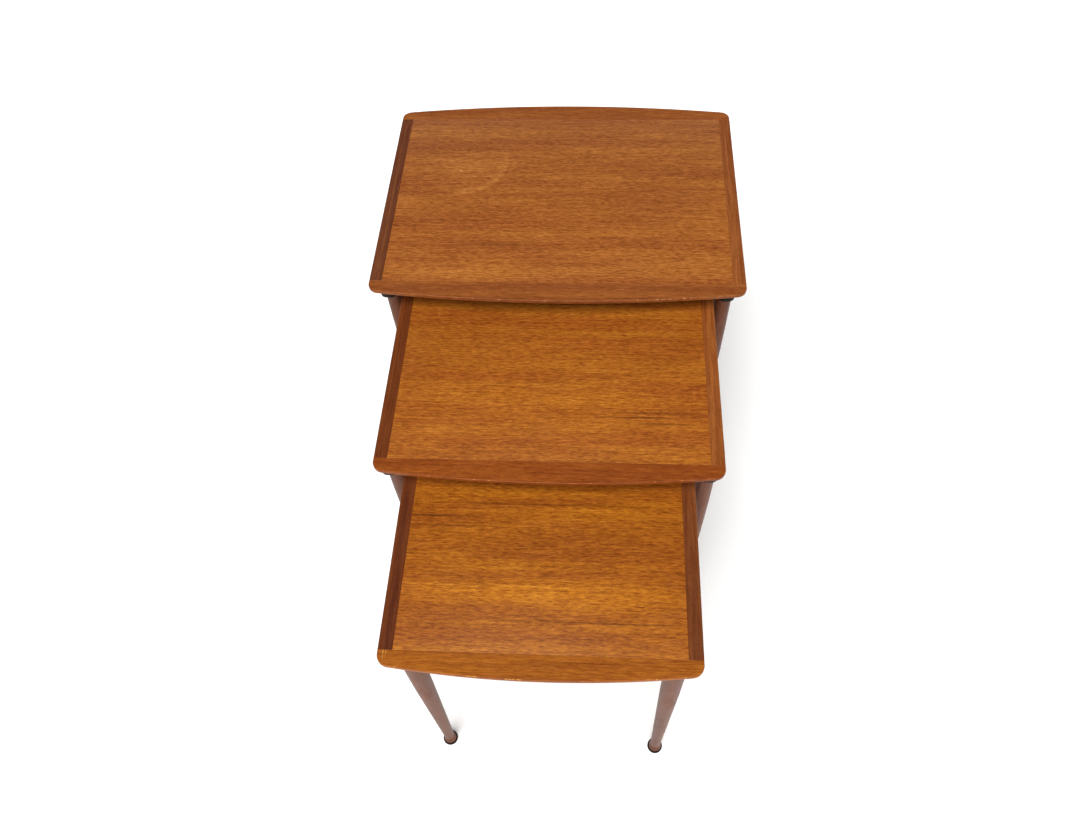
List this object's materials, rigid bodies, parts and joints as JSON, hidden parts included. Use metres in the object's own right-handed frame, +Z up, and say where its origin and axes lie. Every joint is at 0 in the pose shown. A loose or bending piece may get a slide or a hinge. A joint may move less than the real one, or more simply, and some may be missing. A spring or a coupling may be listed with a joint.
{
  "type": "nesting tables",
  "caption": "Nest of occasional tables: bow-edged veneered tops on turned tapered legs, each smaller table sliding out forwards from under the larger one.",
  "frame": {"origin": "on the floor, under the middle of the whole set as it stands pulled out", "axes": "+Z up; the smaller tables pull out towards -Y; +X to the right seen from the front"},
  "size_m": [0.51, 0.8869, 0.52],
  "materials": {
    "panel_core": "raw chipboard",
    "large_veneer": "satin lacquered teak veneer",
    "middle_veneer": "satin lacquered teak veneer",
    "small_veneer": "satin lacquered teak veneer",
    "lip_wood": "satin lacquered solid teak",
    "strip_wood": "satin lacquered solid wood",
    "rail_black": "black stained wood",
    "apron_wood": "satin stained wood",
    "leg_wood": "satin lacquered turned wood",
    "glide_black": "moulded, worn",
    "fastener_steel": "dull",
    "dowel_wood": "raw beech"
  },
  "bodies": {
    "large_table": {"large_top_core": "panel_core", "large_face_veneer": "large_veneer", "large_front_lip": "lip_wood", "large_rear_lip": "lip_wood", "large_left_strip": "strip_wood", "large_right_strip": "strip_wood", "large_left_rail": "rail_black", "large_right_rail": "rail_black", "large_left_apron": "apron_wood", "large_right_apron": "apron_wood", "large_rear_apron": "apron_wood", "large_front_left_leg": "leg_wood", "large_front_right_leg": "leg_wood", "large_rear_left_leg": "leg_wood", "large_rear_right_leg": "leg_wood", "large_glides": "glide_black", "large_glide_nails": "fastener_steel", "large_top_screws": "fastener_steel", "large_apron_dowels": "dowel_wood"},
    "middle_table": {"middle_top_core": "panel_core", "middle_face_veneer": "middle_veneer", "middle_front_lip": "lip_wood", "middle_rear_lip": "lip_wood", "middle_left_strip": "strip_wood", "middle_right_strip": "strip_wood", "middle_left_rail": "rail_black", "middle_right_rail": "rail_black", "middle_left_apron": "apron_wood", "middle_right_apron": "apron_wood", "middle_rear_apron": "apron_wood", "middle_front_left_leg": "leg_wood", "middle_front_right_leg": "leg_wood", "middle_rear_left_leg": "leg_wood", "middle_rear_right_leg": "leg_wood", "middle_glides": "glide_black", "middle_glide_nails": "fastener_steel", "middle_top_screws": "fastener_steel", "middle_apron_dowels": "dowel_wood"},
    "small_table": {"small_top_core": "panel_core", "small_face_veneer": "small_veneer", "small_front_lip": "lip_wood", "small_rear_lip": "lip_wood", "small_left_strip": "strip_wood", "small_right_strip": "strip_wood", "small_left_rail": "rail_black", "small_right_rail": "rail_black", "small_left_apron": "apron_wood", "small_right_apron": "apron_wood", "small_rear_apron": "apron_wood", "small_front_left_leg": "leg_wood", "small_front_right_leg": "leg_wood", "small_rear_left_leg": "leg_wood", "small_rear_right_leg": "leg_wood", "small_glides": "glide_black", "small_glide_nails": "fastener_steel", "small_top_screws": "fastener_steel", "small_apron_dowels": "dowel_wood"}
  },
  "joints": [
    {"name": "middle_slide", "type": "slide", "parent": "large_table", "child": "middle_table", "axis": [0, -1, 0], "range_m": [-0.26, 0.1]},
    {"name": "small_slide", "type": "slide", "parent": "middle_table", "child": "small_table", "axis": [0, -1, 0], "range_m": [-0.228, 0.08]}
  ]
}
